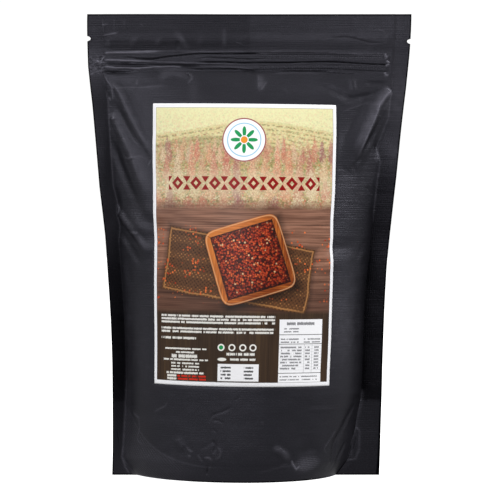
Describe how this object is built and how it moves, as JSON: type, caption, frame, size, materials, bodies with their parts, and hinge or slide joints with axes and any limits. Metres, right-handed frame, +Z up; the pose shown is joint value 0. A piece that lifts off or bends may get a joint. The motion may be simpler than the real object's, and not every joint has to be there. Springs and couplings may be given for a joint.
{
  "type": "stand-up pouch of quinoa",
  "caption": "Full, shut stand-up zip pouch of matt black film, standing on its bottom gusset, with a large printed label on its front.",
  "frame": {"origin": "on the floor, under the middle of the standing pouch", "axes": "+Z up, -Y towards the front with the label, +X to the right seen from the front"},
  "size_m": [0.18, 0.0827, 0.255],
  "materials": {
    "film": "satin-matt black laminate film, softly creased",
    "label_print": null
  },
  "bodies": {
    "root": {"pouch": "film", "label": "label_print"}
  },
  "joints": []
}
